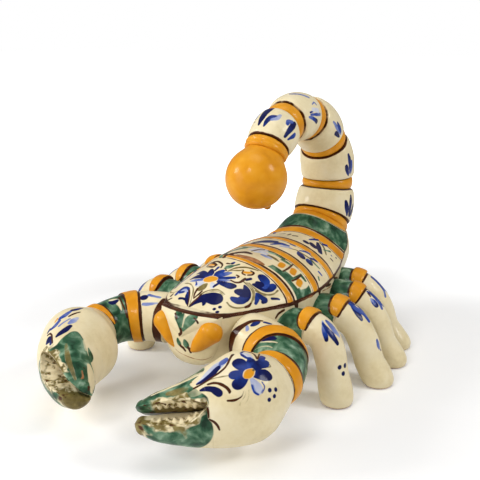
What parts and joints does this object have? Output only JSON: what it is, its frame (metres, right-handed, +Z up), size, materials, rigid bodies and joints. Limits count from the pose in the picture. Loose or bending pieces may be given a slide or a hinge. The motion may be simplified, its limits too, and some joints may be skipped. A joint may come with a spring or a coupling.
{
  "type": "scorpion figurine",
  "caption": "Hand-painted glazed ceramic scorpion ornament with a beaded tail arched over its banded back, ringed legs and open toothed claws, for a shelf or table.",
  "frame": {"origin": "on the ground under the middle of the bounding box", "axes": "+Z up, the scorpion faces -Y, +X is its left-right axis with the mirrored halves on either side"},
  "size_m": [0.2098, 0.2982, 0.193],
  "materials": {
    "painted_cream_glaze": "gloss cream glaze with brushed cobalt, green, ochre and brown painting",
    "ochre_glaze": "gloss ochre glaze with brown edge lines",
    "green_glaze": "gloss brushed green glaze",
    "brown_glaze": "gloss brown glaze"
  },
  "bodies": {
    "root": {"abdomen_back": "painted_cream_glaze", "arm_band_left": "ochre_glaze", "arm_band_right": "ochre_glaze", "belly_shell": "painted_cream_glaze", "carapace_shield": "painted_cream_glaze", "claw_finger_left": "green_glaze", "claw_finger_right": "green_glaze", "claw_palm_left": "painted_cream_glaze", "claw_palm_right": "painted_cream_glaze", "forearm_left": "green_glaze", "forearm_right": "green_glaze", "leg_band_left_1": "ochre_glaze", "leg_band_left_2": "ochre_glaze", "leg_band_left_3": "ochre_glaze", "leg_band_left_4": "ochre_glaze", "leg_band_right_1": "ochre_glaze", "leg_band_right_2": "ochre_glaze", "leg_band_right_3": "ochre_glaze", "leg_band_right_4": "ochre_glaze", "leg_left_1": "painted_cream_glaze", "leg_left_2": "painted_cream_glaze", "leg_left_3": "painted_cream_glaze", "leg_left_4": "painted_cream_glaze", "leg_right_1": "painted_cream_glaze", "leg_right_2": "painted_cream_glaze", "leg_right_3": "painted_cream_glaze", "leg_right_4": "painted_cream_glaze", "mouth_boss_left": "ochre_glaze", "mouth_boss_right": "ochre_glaze", "sting": "brown_glaze", "tail_bead_1": "painted_cream_glaze", "tail_bead_2": "painted_cream_glaze", "tail_bead_3": "painted_cream_glaze", "tail_bead_4": "painted_cream_glaze", "tail_bead_5": "painted_cream_glaze", "tail_coil_1": "ochre_glaze", "tail_coil_2": "ochre_glaze", "tail_coil_3": "ochre_glaze", "tail_coil_4": "ochre_glaze", "tail_coil_5": "ochre_glaze", "tail_collar": "ochre_glaze", "telson_bulb": "ochre_glaze", "upper_arm_left": "painted_cream_glaze", "upper_arm_right": "painted_cream_glaze", "wrist_band_left": "ochre_glaze", "wrist_band_right": "ochre_glaze"}
  },
  "joints": []
}
